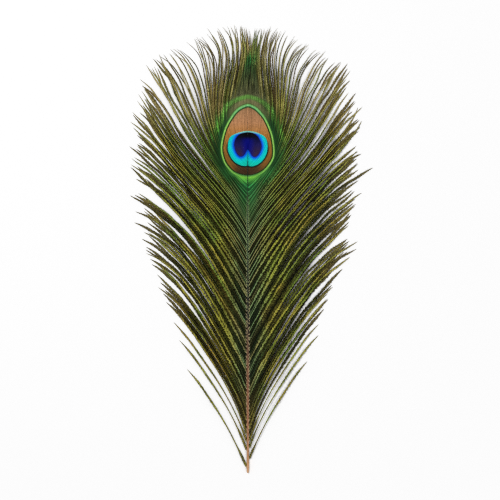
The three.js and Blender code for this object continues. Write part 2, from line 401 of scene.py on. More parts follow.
def make_vane_piece(g, lo, hi, name, material, spacing=.30):
    """The barbs of vane g with lo <= root < hi, as one joined mesh."""
    side, rng = g["side"], np.random.default_rng(int(1000 + lo * 7 + (g["side"] + 2) * 31))
    gap_all = neighbour_gap(g["x"], g["y"])
    pick = [i for i in range(g["n"]) if lo <= g["roots"][i] < hi]
    pile = Pile()
    for row, i in enumerate(pick):
        s_of, length = g["s"][i], float(g["length"][i])
        mid = np.stack([g["x"][i] * side, g["y"][i], g["z"][i]], -1)
        tan = unit(np.gradient(mid, axis=0))
        shine = float(g["shine"][i])
        tone = float(rng.random())
        hue = float(rng.random())
        low = float(g["low"][i])
        crown = float(g["crown"][i])
        close = float(ease(108, 160, g["roots"][i]))         # 1 where barbs leave the shaft close together
        thick = rng.uniform(.88, 1.12)
        # the uppermost barb of a clump is slim and gets a painted highlight, those under it are broad and get painted
        # shade
        thick *= (1 - crown) * (1.40 - (.36 + .22 * close) * float(np.clip((shine - .4) / .35, 0, 1))) + crown
        first = 1 - ease(15, 70, float(g["roots"][i]))       # 1 on the lowest barbs, whose lower half is nearly bare

        # --- ramus: a tapering four-sided stalk
        m = max(10, int(length / 2.6))
        ss = length * (np.linspace(0, 1, m + 1) ** 1.0)
        c = np.stack([sample(mid[:, k], s_of, ss) for k in range(3)], -1)
        t3 = unit(np.gradient(c, axis=0))
        sd = unit(np.cross(t3, np.array([0, 0, 1.0])))
        up = np.cross(sd, t3)
        rad = (.07 + .15 * (1 - ss / length) ** .8) * (1 + .35 * np.exp(-ss / 2.5)) * (.48 + .52 * low)
        rad[-1] = .03
        ring = []
        for a in (0, 90, 180, 270):
            ca, sa = math.cos(math.radians(a)), math.sin(math.radians(a))
            ring.append(c + sd * (rad * ca)[:, None] + up * (rad * sa * .9)[:, None])
        v = np.stack(ring, 1)                           # (m+1, 4, 3)
        idx = np.arange((m + 1) * 4).reshape(m + 1, 4)
        q = np.stack([idx[:-1], idx[1:], np.roll(idx[1:], -1, 1), np.roll(idx[:-1], -1, 1)], -1).reshape(-1, 4)
        caps = np.array([[idx[0, 1], idx[0, 2], idx[0, 3]], [idx[0, 0], idx[0, 1], idx[0, 3]],
                         [idx[-1, 2], idx[-1, 1], idx[-1, 0]], [idx[-1, 3], idx[-1, 2], idx[-1, 0]]])
        ux = np.repeat(ss / length, 4)
        pile.add(v, caps, q, tone=tone, hue=hue, shine=shine, close=close, fleck=.5, lat=0.0, ramus=1.0,
                 bead=.6, loose=np.repeat(sample(g["free"][i], s_of, ss), 4), down=np.repeat(ss, 4),
                 u=.01 + .98 * ux, row=row, across=np.tile(np.array([.06, .0, -.06, .0]), m + 1))

        # --- barbules, on both sides
        freeb = g["free"][i]
        begin = .15 if low < .5 else .5
        for hand in (-1, 1):
            k = int((length - begin - .4) / spacing)
            s = begin + spacing * (np.arange(k) + rng.uniform(-.3, .3, k)) + (.5 * spacing if hand > 0 else 0)
            s = np.clip(s, .12, length - .3)
            p = np.stack([sample(mid[:, a], s_of, s) for a in range(3)], -1)
            t3 = unit(np.stack([sample(tan[:, a], s_of, s) for a in range(3)], -1))
            sd = unit(np.cross(t3, np.array([0, 0, 1.0]))) * hand
            up = np.array([0, 0, 1.0])
            fr = sample(freeb, s_of, s)
            web = 1 - ease(0, .12, fr)
            gap = sample(gap_all[i], s_of, s)
            # bead: bundles of barbules twist together along a loose barb, each bundle with its own strength
            period = 1.55 + .60 * tone
            turns = s / period + rng.uniform(0, 1) + .30 * np.sin(2 * np.pi * s / 11.0 + 6 * hue)
            own = rng.random(int(turns.max()) + 2)[turns.astype(int)]
            wave = .5 + .5 * np.cos(2 * np.pi * turns)
            bead = np.clip(.50 * wave + .50 * own + rng.normal(0, .06, k), 0, 1)
            ang = np.radians(32 + 14 * web + 7 * (1 - web) * (1 - ease(.20, .50, s / length)) + rng.normal(0, 4, k) + 8 * (bead - .5) * (1 - web))
            root_part = ease(0, 10, s) * .45 + .55
            bare = 1 - first * (.62 - .62 * ease(.30, .62, s / length))
            tip_part = np.clip((length - s) / 12.0, .05, 1) ** .7
            l_loose = (1.42 - .42 * crown) * thick * (1 + .25 * (1 - ease(.20, .55, s / length))) * root_part * bare * tip_part * (1 + .22 * (bead - .5)) * rng.uniform(.85, 1.1, k)
            # in the crown a barb is broad below and slim towards its tip
            l_loose *= 1 + crown * (.28 - .60 * ease(.10, .80, fr))
            l_web = np.clip(.90 * gap / np.sin(ang), .50, 1.45) * rng.uniform(.92, 1.08, k)
            ln = web * l_web + (1 - web) * l_loose
            elev = (1 - web) * np.radians(-5 + 22 * (wave - .5) + rng.normal(0, 6, k)) + web * np.radians(
                np.where(hand > 0, 3.0, -2.0) + rng.normal(0, 1.5, k))
            d = (t3 * np.cos(ang)[:, None] + sd * np.sin(ang)[:, None])
            d = d * np.cos(elev)[:, None] + up * np.sin(elev)[:, None]
            w = (.98 - .34 * web - .22 * crown * ease(.3, .8, fr)) * rng.uniform(.85, 1.15, k) * (.45 + .55 * tip_part)
            hgt = .05 + .02 * web
            A = p - t3 * (w / 2)[:, None]
            B = p + t3 * (w / 2)[:, None]
            C = p + d * (ln * .12)[:, None] - up * hgt[:, None]
            tip = p + d * ln[:, None]
            tip[:, 2] = np.maximum(tip[:, 2], .06)
            C[:, 2] = np.maximum(C[:, 2], .03)
            v = np.stack([A, B, tip, C], 1)             # (k, 4, 3)
            b = np.arange(k)[:, None] * 4
            o = np.array([[0, 1, 2], [0, 2, 3], [1, 3, 2], [0, 3, 1]])
            if hand * 1 > 0:
                o = o[:, ::-1]
            f = (b[:, :, None] + o[None]).reshape(-1, 3)
            fleck = rng.random(k)
            uu = np.stack([s - w * .5, s + w * .5, s + ln * np.cos(ang), s + .02], 1) / length
            ww = np.tile(np.array([.07, .07, .48, .16]), k) * hand
            rep = lambda z: np.repeat(z, 4)
            lat = np.tile(np.array([0, 0, 1.0, .1]), k)
            pile.add(v, f, None, tone=tone, hue=hue, shine=shine, close=close, fleck=rep(fleck), lat=lat, ramus=0.0, bead=rep(bead),
                     loose=rep(fr), down=rep(s), u=.01 + .98 * np.clip(uu, 0, 1).ravel(), row=row, across=ww)
    # markings are read where each vertex lies
    v = np.concatenate(pile.v)
    for key in ("egg", "disc", "heart", "band"):
        pile.a[key] = [marking(key, v[:, 0], v[:, 1]).astype(np.float32)]
    v[:, 0] += SHAFT_X
    v[:, 1] += QUILL_Y
    pile.v = [v]
    ob = pile.object(name, material, len(pick))
    return ob


# ------------------------------------------------------------------ node helpers
def srgb(r, g, b):
    f = lambda c: (c / 255) / 12.92 if c <= 10 else (((c / 255) + .055) / 1.055) ** 2.4
    return (f(r), f(g), f(b), 1.0)


class Nodes:
    def __init__(self, name):
        self.mat = bpy.data.materials.new(name)
        self.mat.use_nodes = True
        self.t = self.mat.node_tree
        self.t.nodes.clear()
        self.x = 0

    def new(self, kind, **props):
        n = self.t.nodes.new(kind)
        self.x += 180
        n.location = (self.x, -(self.x // 180 % 7) * 160)
        for k, v in props.items():
            setattr(n, k, v)
        return n

    def put(self, socket, value):
        if isinstance(value, bpy.types.NodeSocket):
            self.t.links.new(value, socket)
        else:
            socket.default_value = value

    def attr(self, name):
        return self.new("ShaderNodeAttribute", attribute_name=name).outputs["Fac"]

    def math(self, op, a, b=0.0, c=None, clamp=False):
        n = self.new("ShaderNodeMath", operation=op, use_clamp=clamp)
        self.put(n.inputs[0], a)
        self.put(n.inputs[1], b)
        if c is not None:
            self.put(n.inputs[2], c)
        return n.outputs[0]

    def step(self, x, a, b, lo=0.0, hi=1.0):
        """Smooth step of x from a to b, giving lo to hi."""
        n = self.new("ShaderNodeMapRange", interpolation_type="SMOOTHSTEP")
        self.put(n.inputs["Value"], x)
        for k, v in (("From Min", a), ("From Max", b), ("To Min", lo), ("To Max", hi)):
            self.put(n.inputs[k], v)
        return n.outputs["Result"]

    def ramp(self, x, a, b, stops, mode="LINEAR"):
        """Colours along x from a to b: stops are (value of x, colour)."""
        n = self.new("ShaderNodeValToRGB")
        r = n.color_ramp
        r.interpolation = mode
        while len(r.elements) > 1:
            r.elements.remove(r.elements[-1])
        first = True
        for v, col in stops:
            pos = (v - a) / (b - a)
            if first:
                el = r.elements[0]
                el.position = pos
                first = False
            else:
                el = r.elements.new(pos)
            el.color = col
        m = self.new("ShaderNodeMapRange")
        self.put(m.inputs["Value"], x)
        m.inputs["From Min"].default_value, m.inputs["From Max"].default_value = a, b
        self.put(n.inputs["Fac"], m.outputs["Result"])
        return n.outputs["Color"]

    def mix(self, fac, a, b, mode="MIX"):
        n = self.new("ShaderNodeMix", data_type="RGBA", blend_type=mode)
        self.put(n.inputs["Factor"], fac)
        self.put(n.inputs["A"] if False else n.inputs[6], a)
        self.put(n.inputs[7], b)
        return n.outputs[2]

    def place(self):
        """(across, along from the disc's middle, height) of the point, in mm, from object coordinates."""
        tc = self.new("ShaderNodeTexCoord")
        sep = self.new("ShaderNodeSeparateXYZ")
        self.put(sep.inputs[0], tc.outputs["Object"])
        x = self.math("MULTIPLY_ADD", sep.outputs[0], 1000.0, -SHAFT_X)
        y = self.math("MULTIPLY_ADD", sep.outputs[1], 1000.0, -(QUILL_Y + EYE_Y))
        z = self.math("MULTIPLY", sep.outputs[2], 1000.0)
        return x, y, z, tc.outputs["Object"]

    def noise(self, vec, scale, detail=2.0, rough=.5):
        n = self.new("ShaderNodeTexNoise")
        self.put(n.inputs["Vector"], vec)
        n.inputs["Scale"].default_value = scale
        n.inputs["Detail"].default_value = detail
        n.inputs["Roughness"].default_value = rough
        return n.outputs["Fac"]


def barb_material(name, seed):
    m = Nodes(name)
    x, y, z, obj = m.place()
    tone, hue, fleck, lat = m.attr("tone"), m.attr("hue"), m.attr("fleck"), m.attr("lat")
    bead, loose, ramus, down = m.attr("bead"), m.attr("loose"), m.attr("ramus"), m.attr("down")
    egg0, disc0, heart0, band = m.attr("egg"), m.attr("disc"), m.attr("heart"), m.attr("band")
    shine, back, close = m.attr("shine"), m.attr("back"), m.attr("close")
    ax = m.math("ABSOLUTE", x)
    MUL = lambda a, b: m.math("MULTIPLY", a, b)
    # the border of a marking wanders a little from barbule to barbule
    jit = MUL(m.math("SUBTRACT", fleck, .5), .30)
    egg, disc, heart = (m.math("ADD", v, jit) for v in (egg0, disc0, heart0))

    # ---- loose barbs: a bright middle line on dark, rope-like fringes; the bright line is painted highlight and the dark is painted shade
    upper = m.step(y, 4.0, 30.0)                          # 1 in the crown
    big = m.noise(obj, 38.0, 2.0)
    gold = m.ramp(tone, 0, 1, [(0, srgb(144, 122, 44)), (.3, srgb(164, 156, 64)), (.6, srgb(142, 146, 54)),
                               (.8, srgb(146, 130, 54)), (1, srgb(122, 144, 58))])
    green = m.ramp(hue, 0, 1, [(0, srgb(92, 120, 48)), (.5, srgb(122, 138, 54)), (1, srgb(150, 150, 60))])
    bright_low = m.mix(m.step(big, .45, .60), gold, green)
    bright_up = m.ramp(tone, 0, 1, [(0, srgb(168, 152, 94)), (.3, srgb(148, 144, 70)), (.55, srgb(184, 172, 114)),
                                    (.8, srgb(140, 122, 74)), (1, srgb(114, 132, 58))])
    bright_low = m.mix(MUL(m.step(egg, 36.0, 10.0), .75), bright_low, m.mix(hue, srgb(92, 124, 50), srgb(124, 140, 60)))
    bright = m.mix(upper, bright_low, bright_up)
    mid_low = m.ramp(hue, 0, 1, [(0, srgb(72, 60, 20)), (.5, srgb(70, 70, 24)), (1, srgb(54, 66, 26))])
    mid_up = m.ramp(hue, 0, 1, [(0, srgb(102, 80, 44)), (.5, srgb(96, 86, 42)), (1, srgb(72, 82, 34))])
    mid_col = m.mix(upper, mid_low, mid_up)
    # painted shade: the near-black of the fringes and of the broad barbs lying under the shining ones, browner in the
    # crown
    dark = m.ramp(hue, 0, 1, [(0, srgb(7, 5, 2)), (.5, srgb(5, 6, 2)), (1, srgb(8, 7, 2))])
    dark = m.mix(MUL(upper, .7), dark, srgb(54, 46, 22))
    rope = m.step(m.math("ADD", MUL(bead, .88), MUL(fleck, .12)), .28, .62)
    # painted sheen: the shining barbs' highlight comes and goes along them in stretches, and lit_up is the strength of
    # that painted highlight
    stretch = m.step(m.noise(obj, 90.0, 1.0), .38, .58, .55, 1.0)       # a barb shines in stretches
    lit_up = MUL(m.step(shine, .30, .75, .0, 1.0), stretch)
    core = m.step(lat, .80, .20)                          # 1 along the barb's middle
    # painted shade on barbs that don't shine: mid tone along the middle, dark fringes
    dim = m.mix(MUL(core, m.step(y, -32.0, 12.0, .09, .85)), dark, mid_col)
    # painted shade: the shining barbs' fringes turn dark where barbs leave the shaft close together
    fringe = m.mix(MUL(close, m.step(y, 30.0, 0.0, 0.0, .85)), mid_col, dark)
    # painted highlight: shining barbs bright along the middle, falling to the fringe colour at the edges
    glow = m.mix(m.mix(upper, m.step(lat, m.step(close, 0, 1, .80, .50), m.step(close, 0, 1, .40, .14), .06, 1.0), m.step(lat, .8, .2, .5, 1.0)), fringe, bright)
    # painted glints on the rope's high points, on dim and shining barbs alike
    spark = m.step(m.math("ADD", MUL(bead, .85), MUL(fleck, .15)), .66, .84)
    dim = m.mix(MUL(spark, m.step(lat, .9, .4, .08, .32)), dim, m.mix(.3, mid_col, bright))
    glow = m.mix(MUL(spark, .75), glow, m.mix(1.0, glow, (1.45, 1.42, 1.40, 1), "MULTIPLY"))
    loose_col = m.mix(lit_up, dim, glow)
    # painted shade in the troughs between twisted barbule bundles, on top of the bundles' own tilt
    rope_trough_shade = m.mix(upper, (.22, .20, .15, 1), (.68, .66, .60, 1))
    loose_col = m.mix(rope, m.mix(1.0, loose_col, rope_trough_shade, "MULTIPLY"), loose_col)
    # the stalk takes painted highlight on shining barbs and mid tone on the others
    loose_col = m.mix(MUL(ramus, .8), loose_col, m.mix(m.step(lit_up, 0, 1, .10, 1.0), mid_col, bright))
    # towards the shaft the barbs are greener and darker, and near the quill plain dark brown
    near_shaft = MUL(m.step(down, 5.0, 36.0, .85, 0.0), m.step(y, -215.0, -180.0, .6, 1.0))
    # painted highlight on shining barbs' middle lines, painted glints on the rope's high points, and near-black painted
    # shade between the knots and in the fringes
    line_in = m.mix(lit_up, m.mix(m.step(hue, .55, .75), srgb(22, 27, 11), srgb(16, 32, 19)),
                    m.mix(m.step(hue, .35, .65), srgb(140, 140, 92), srgb(108, 138, 96)))
    knots = m.step(m.math("ADD", MUL(bead, .88), MUL(fleck, .12)), .38, .60)
    line_in = m.mix(knots, m.mix(1.0, line_in, (.12, .13, .11, 1), "MULTIPLY"), line_in)
    line_in = m.mix(MUL(spark, .8), line_in, m.mix(1.0, line_in, (1.6, 1.6, 1.5, 1), "MULTIPLY"))
    shade = m.mix(m.math("MAXIMUM", m.step(lat, m.step(close, 0, 1, .80, .50), m.step(close, 0, 1, .20, .12)), ramus), m.mix(knots, srgb(4, 5, 2), srgb(10, 15, 7)), line_in)
    brown = m.mix(knots, srgb(20, 16, 9), m.mix(lit_up, srgb(56, 50, 24), srgb(116, 106, 52)))
    shade = m.mix(m.step(y, -150.0, -180.0), shade, brown)
    loose_col = m.mix(near_shaft, loose_col, shade)
    # beside the apex the strands lie close, and those that don't shine get painted shade; the few bright ones keep
    # their painted highlight
    flank_ap = MUL(MUL(m.step(ax, 26.0, 13.0), m.step(y, 20.0, 32.0)), m.step(y, 70.0, 50.0))
    flank_ap = MUL(flank_ap, m.step(shine, .97, .80, .35, 1.0))
    loose_col = m.mix(MUL(flank_ap, .95), loose_col, m.mix(1.0, loose_col, (.34, .40, .30, 1), "MULTIPLY"))
    # the last stretch pales a little and browns
    tipc = m.step(loose, .70, 1.0)
    # with painted shade in the rope's troughs
    loose_col = m.mix(MUL(tipc, .45), loose_col, m.mix(rope, srgb(64, 54, 30), srgb(150, 136, 84)))

    # ---- the green halo outside the egg
    top = MUL(m.step(ax, 6.0, 17.0, 1.0, 0.0), m.step(y, 12.0, 22.0))
    ring_top = m.ramp(egg, -1, 20, [(-1, srgb(106, 90, 52)), (-.55, srgb(50, 66, 30)), (.05, srgb(48, 96, 52)),
                                    (.6, srgb(120, 190, 122)), (1.35, srgb(112, 178, 100)), (1.9, srgb(80, 100, 54)),
                                    (2.6, srgb(108, 108, 70)), (4.6, srgb(116, 114, 76)), (5.6, srgb(84, 92, 54)),
                                    (9.5, srgb(92, 98, 66)), (13, srgb(76, 86, 54)), (20, srgb(62, 76, 44))])
    ring_side = m.ramp(egg, -1, 16, [(-1, srgb(84, 70, 30)), (-.6, srgb(44, 50, 18)), (0, srgb(44, 70, 26)),
                                     (.45, srgb(150, 206, 96)), (.95, srgb(132, 192, 84)), (1.35, srgb(48, 98, 42)),
                                     (2.0, srgb(30, 66, 32)), (3.4, srgb(30, 68, 32)), (5.5, srgb(44, 84, 38)),
                                     (8.5, srgb(54, 90, 38)), (12, srgb(60, 78, 32)), (16, srgb(66, 74, 30))])
    halo = m.mix(top, ring_side, ring_top)
    # the outer green band, solid above the eye and breaking into streaks down its sides
    wander = MUL(m.math("SUBTRACT", tone, .5), 1.5)
    ab = m.math("ABSOLUTE", m.math("ADD", band, MUL(wander, m.step(y, 30.0, 12.0, .25, 1.0))))
    band_w = MUL(m.step(ab, 2.5, .4), m.step(y, -4.0, 15.0))
    band_w = MUL(band_w, m.math("ADD", m.step(y, 22.0, 31.0, 0.0, .50), m.step(tone, .05, .85, .30, .85), clamp=True))
    band_c = m.mix(m.step(y, 16.0, 32.0), srgb(84, 142, 50), srgb(98, 148, 66))
    halo = m.mix(MUL(band_w, .95), halo, band_c)
    # below the eye: a bright flare beside the rachis, then green that fades down it
    below = m.step(y, -11.0, -18.5)
    flare = m.ramp(egg, -1, 30, [(-1, srgb(56, 44, 24)), (-.3, srgb(34, 44, 22)), (.35, srgb(76, 136, 70)),
                                 (1.4, srgb(118, 196, 66)), (3.2, srgb(84, 166, 66)), (6.5, srgb(48, 126, 66)),
                                 (12, srgb(50, 116, 62)), (22, srgb(52, 98, 50)), (30, srgb(48, 80, 40))])
    flare_side = m.ramp(egg, -1, 16, [(-1, srgb(56, 44, 24)), (-.3, srgb(34, 44, 22)), (.35, srgb(76, 136, 60)),
                                      (1.0, srgb(126, 190, 82)), (1.7, srgb(62, 124, 54)), (4, srgb(44, 104, 50)),
                                      (9, srgb(48, 92, 44)), (16, srgb(52, 80, 36))])
    flare = m.mix(m.step(ax, 3.0, 9.5), flare, flare_side)
    halo = m.mix(below, halo, flare)
    # streaks: each barb in the halo has its own strength
    strk = m.ramp(tone, 0, 1, [(0, (.30, .30, .30, 1)), (.5, (.80, .80, .80, 1)), (1, (1.45, 1.45, 1.45, 1))])
    weight = MUL(m.step(egg, 1.4, 4.5), m.math("SUBTRACT", 1.0, MUL(top, .70)))
    weight = MUL(weight, m.math("SUBTRACT", 1.0, MUL(m.step(ax, 10.0, 3.0), MUL(below, .45))))
    halo = m.mix(weight, halo, m.mix(1.0, halo, strk, "MULTIPLY"))
    # painted highlight on shining barbs in the halo, painted shade on the others
    line = m.mix(m.step(shine, .45, .70), (.62, .62, .60, 1), (1.40, 1.38, 1.34, 1))
    halo = m.mix(MUL(m.step(egg, 2.0, 7.0), m.math("SUBTRACT", 1.0, MUL(top, .8))), halo, m.mix(1.0, halo, line, "MULTIPLY"))
    # painted shade: dark green at the barbule tips and in the rope's troughs, darkening the gaps between barbs
    calm = m.math("SUBTRACT", 1.0, MUL(m.step(ax, 9.0, 2.0), m.step(egg, 12.0, 6.0, .35, .75)))
    halo = m.mix(MUL(MUL(m.step(egg, 1.6, 5.0), m.step(lat, .40, 1.0, 0.0, .70)), calm), halo, srgb(14, 30, 12))
    halo = m.mix(MUL(MUL(MUL(m.step(egg, 2.0, 6.0), m.step(rope, 1.0, 0.0)), .5), calm), halo, srgb(20, 34, 14))

    # ---- bronze egg
    bronze_y = m.ramp(y, -20, 28, [(-20, srgb(56, 42, 28)), (-12, srgb(84, 60, 36)), (-5, srgb(122, 86, 44)),
                                   (2, srgb(150, 108, 54)), (8, srgb(170, 120, 60)), (12, srgb(180, 126, 74)),
                                   (17, srgb(182, 132, 92)), (24, srgb(166, 124, 88)), (28, srgb(140, 108, 74))])
    sides = m.step(ax, 5.0, 13.0)
    bronze = m.mix(MUL(sides, m.step(y, 4.0, 14.0, .60, .10)), bronze_y, srgb(150, 104, 38))
    brn = m.noise(obj, 900.0, 2.0)
    bronze = m.mix(m.step(brn, .35, .75, 0.0, .30), bronze, srgb(112, 76, 44))
    vein = m.ramp(tone, 0, 1, [(0, (.82, .81, .79, 1)), (.4, (1, 1, 1, 1)), (1, (1.08, 1.07, 1.05, 1))])
    bronze = m.mix(.8, bronze, m.mix(1.0, bronze, vein, "MULTIPLY"))
    # the bottom of the egg is darker in its middle
    deep = MUL(m.step(y, -9.0, -15.0), m.step(ax, 13.0, 2.0))
    bronze = m.mix(MUL(deep, .6), bronze, srgb(58, 42, 26))
    # dark rim round the lower disc
    rim = MUL(m.step(disc, 1.1, .15), m.step(y, 7.0, -3.0))
    bronze = m.mix(rim, bronze, srgb(16, 30, 24))
    eye = m.mix(m.step(egg, -.95, -.50), bronze, halo)

    # ---- disc: cobalt next to the heart, turquoise outside
    d_col = m.ramp(heart, -1, 8, [(-1, srgb(12, 18, 96)), (0, srgb(10, 34, 130)), (.40, srgb(8, 66, 196)),
                                  (.9, srgb(8, 102, 226)), (1.5, srgb(10, 146, 222)), (2.2, srgb(8, 182, 208)),
                                  (3.2, srgb(6, 198, 194)), (4.8, srgb(12, 192, 174)), (8, srgb(20, 186, 160))])
    d_top = MUL(m.step(y, 8.0, 10.5), m.step(disc, -1.6, -.3))
    d_col = m.mix(d_top, d_col, srgb(124, 200, 182))
    seam = MUL(m.step(ax, .50, .12), m.step(y, -8.0, -10.5))
    d_col = m.mix(MUL(seam, .85), d_col, srgb(0, 84, 104))
    d_edge = MUL(m.step(disc, -.60, -.05), m.step(y, 8.0, 2.0))
    d_col = m.mix(d_edge, d_col, srgb(8, 60, 60))
    eye = m.mix(m.step(disc, .1, -.1), eye, d_col)

    # ---- heart: black above, navy in the middle, purple-brown lobes
    h_col = m.ramp(y, -7, 11, [(-7, srgb(62, 38, 54)), (-2, srgb(44, 32, 68)), (2, srgb(28, 24, 82)),
                               (5, srgb(12, 14, 64)), (7.2, srgb(7, 7, 26)), (9, srgb(5, 5, 8)), (11, srgb(4, 4, 6))])
    mid_blue = MUL(m.step(ax, 5.6, .6), m.step(y, 7.6, 4.2))
    h_col = m.mix(MUL(mid_blue, .9), h_col, srgb(7, 14, 124))
    h_edge = MUL(m.step(heart, -.9, -.1), m.step(y, 4.0, 0.0))
    h_col = m.mix(MUL(h_edge, .55), h_col, srgb(18, 24, 100))
    eye = m.mix(m.step(heart, .12, -.12), eye, h_col)

    # fine streaks of single barbs over the whole eye
    fine = m.ramp(tone, 0, 1, [(0, (.88, .88, .88, 1)), (.5, (1, 1, 1, 1)), (1, (1.10, 1.10, 1.10, 1))])
    eye = m.mix(1.0, eye, fine, "MULTIPLY")
    # painted light: a lighter line along the axis at the top of the disc, over the shade in the seam where the two
    # halves' last barbs meet
    mid_line = MUL(m.step(ax, .75, .15), m.step(y, 9.5, 12.0))
    eye = m.mix(MUL(mid_line, .35), eye, m.mix(1.0, eye, (1.6, 1.6, 1.6, 1), "MULTIPLY"))
    eye = m.mix(MUL(ramus, .50), eye, m.mix(1.0, eye, (.78, .78, .78, 1), "MULTIPLY"))

    # ---- the dark green apex between the two halves of the crown
    xs = m.math("SUBTRACT", x, MUL(m.step(y, 20.0, 80.0), 2.2))
    half = m.math("MULTIPLY_ADD", y, -.27, 18.6)          # half its width: 10.5 mm at y 30, 1.6 mm at y 63
    inside = m.step(m.math("SUBTRACT", m.math("ADD", m.math("ABSOLUTE", xs), MUL(m.math("SUBTRACT", hue, .5), 5.5)),
                           half), 1.6, -1.2)
    apex = MUL(MUL(MUL(inside, m.step(y, 28.0, 34.0)), m.step(y, 68.0, 60.0)), m.step(band, .4, 2.4))
    apex_c = m.ramp(y, 28, 68, [(28, srgb(94, 96, 68)), (36, srgb(78, 80, 54)), (46, srgb(50, 60, 36)),
                                (54, srgb(28, 54, 28)), (61, srgb(22, 78, 36)), (68, srgb(50, 98, 42))])
    # painted shade in the rope's troughs, a slight painted highlight on its high points
    apex_c = m.mix(1.0, apex_c, m.mix(rope, (.50, .52, .48, 1), (1.12, 1.12, 1.1, 1)), "MULTIPLY")
    streak = m.ramp(tone, 0, 1, [(0, (.30, .30, .30, 1)), (.45, (.85, .85, .85, 1)), (.75, (1.2, 1.2, 1.2, 1)), (1, (2.4, 2.1, 1.9, 1))])
    apex_c = m.mix(m.step(y, 34.0, 50.0, .15, .85), apex_c, m.mix(1.0, apex_c, streak, "MULTIPLY"))
    long_map = m.new("ShaderNodeMapping")
    long_map.inputs["Scale"].default_value = (1.0, .10, .10)
    m.put(long_map.inputs["Vector"], obj)
    strand = m.noise(long_map.outputs[0], 1100.0, 1.0)
    apex_c = m.mix(m.step(y, 32.0, 44.0, .2, 1.0), apex_c, m.mix(1.0, apex_c, m.mix(m.step(strand, .36, .64), (.34, .36, .30, 1), (1.75, 1.7, 1.6, 1)), "MULTIPLY"))
    # ---- halo gives way to the loose barbs' colours
    wide = m.math("ADD", egg, MUL(m.math("SUBTRACT", hue, .5), 7.0))
    wide = m.math("SUBTRACT", wide, MUL(top, 3.0))
    reach = m.step(wide, 4.0, 12.5)
    reach = m.math("MAXIMUM", reach, m.step(loose, .10, .5))
    reach = MUL(reach, m.math("SUBTRACT", 1.0, MUL(band_w, .9)))
    keep = MUL(MUL(below, m.step(m.math("ADD", ax, MUL(m.math("SUBTRACT", hue, .5), 3.0)), 12.0, 1.5)), m.step(y, -62.0, -26.0))
    reach = MUL(reach, m.math("SUBTRACT", 1.0, keep))
    col = m.mix(reach, eye, loose_col)
    col = m.mix(MUL(apex, .92), col, apex_c)
    # the strands right of the notch keep some green to their tips
    tuft = MUL(MUL(m.step(xs, .2, 1.6), m.step(xs, 8.5, 4.0)), m.step(y, 50.0, 62.0))
    # painted shade in the rope's troughs of these green strands
    col = m.mix(MUL(tuft, m.step(hue, .2, .7, .25, .85)), col, m.mix(rope, srgb(26, 44, 16), m.mix(tone, srgb(46, 78, 32), srgb(112, 134, 66))))
    # root of the barb: pale stub at the shaft
    stub = MUL(MUL(m.step(down, 2.0, .7), m.math("MAXIMUM", ramus, m.step(lat, .3, .1))), m.step(y, -26.0, -48.0))
    col = m.mix(MUL(stub, .8), col, m.mix(m.step(y, -60.0, -120.0), srgb(150, 166, 116), srgb(196, 176, 140)))

    # ---- the underside has no colour play: a dull grey brown with the eye only hinted at
    dull = m.mix(m.step(lat, .0, .9), srgb(112, 98, 78), srgb(64, 54, 42))
    dull = m.mix(MUL(m.step(egg, .6, -.4), .6), dull, srgb(74, 56, 38))
    dull = m.mix(MUL(m.step(disc, .3, -.3), .7), dull, srgb(44, 42, 44))
    # painted shade in the rope's troughs on the underside
    dull = m.mix(MUL(m.step(rope, 1.0, 0.0), .35), dull, srgb(40, 33, 25))
    col = m.mix(MUL(back, .85), col, dull)

    bs = m.new("ShaderNodeBsdfPrincipled")
    m.put(bs.inputs["Base Color"], col)
    bs.inputs["Metallic"].default_value = .06
    rg = m.math("ADD", .36, MUL(fleck, .22))
    m.put(bs.inputs["Roughness"], rg)
    bs.inputs["Specular IOR Level"].default_value = .04
    bump = m.new("ShaderNodeBump")
    bump.inputs["Strength"].default_value = .35
    bump.inputs["Distance"].default_value = .00005
    m.put(bump.inputs["Height"], m.noise(obj, 5200.0, 2.0))
    m.put(bs.inputs["Normal"], bump.outputs[0])
    out = m.new("ShaderNodeOutputMaterial")
    m.put(out.inputs[0], bs.outputs[0])
    return m.mat


